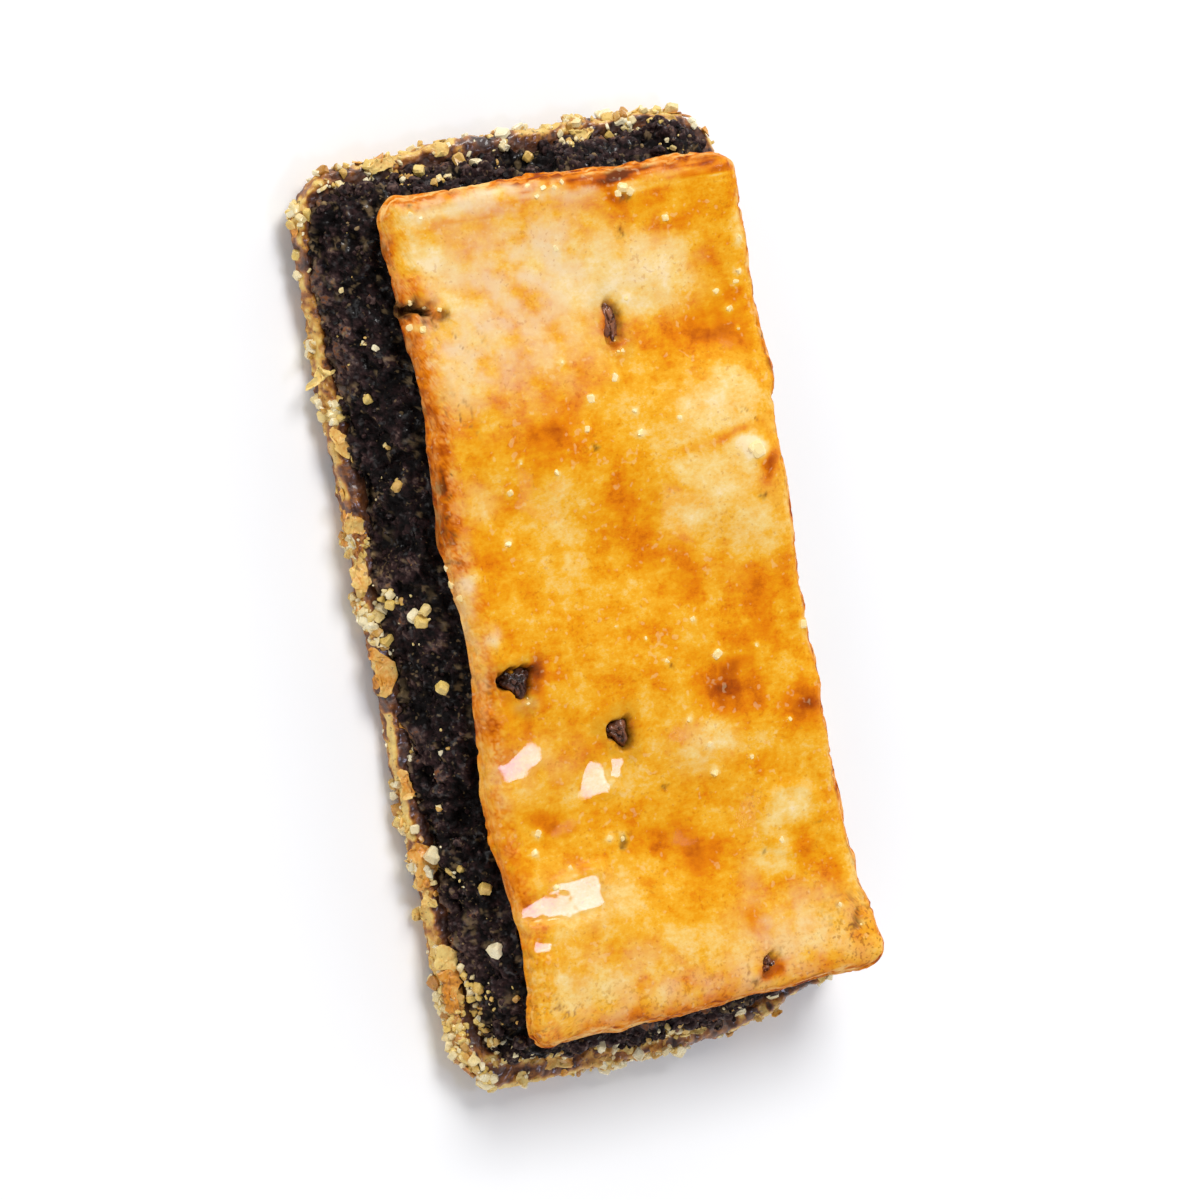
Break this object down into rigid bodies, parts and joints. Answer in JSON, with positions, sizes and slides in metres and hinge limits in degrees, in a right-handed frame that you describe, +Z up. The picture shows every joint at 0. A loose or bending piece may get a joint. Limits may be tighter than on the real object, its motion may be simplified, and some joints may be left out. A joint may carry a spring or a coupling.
{
  "type": "garibaldi biscuit",
  "caption": "Oblong garibaldi biscuit: a dark currant filling baked between a glazed golden pastry lid and a sugar-crusted pastry base, a snack to hold and eat.",
  "frame": {"origin": "the middle of the biscuit in plan, on the surface it lies on, under the flat middle of the base", "axes": "+Y along the biscuit's length, away from the viewer of the picture, +X across it to the right, +Z up through the glazed lid"},
  "size_m": [0.0509, 0.0995, 0.015],
  "materials": {
    "base_pastry": "baked shortcrust pastry, amber where sugar has caramelised on the cut edge, with pale sugar crystals",
    "currant_filling": "dark purple-brown currant paste, crumbly and slightly sticky where it is cut",
    "glazed_lid": "golden egg and sugar glaze over baked pastry, glossy, mottled from pale yellow to orange-brown",
    "currant": "near-black wrinkled dried currant with a sticky sheen"
  },
  "bodies": {
    "root": {"base_pastry": "base_pastry", "currant_filling": "currant_filling", "glazed_lid": "glazed_lid", "currant_left": "currant", "currant_middle": "currant", "currant_back": "currant", "currant_front": "currant"}
  },
  "joints": []
}
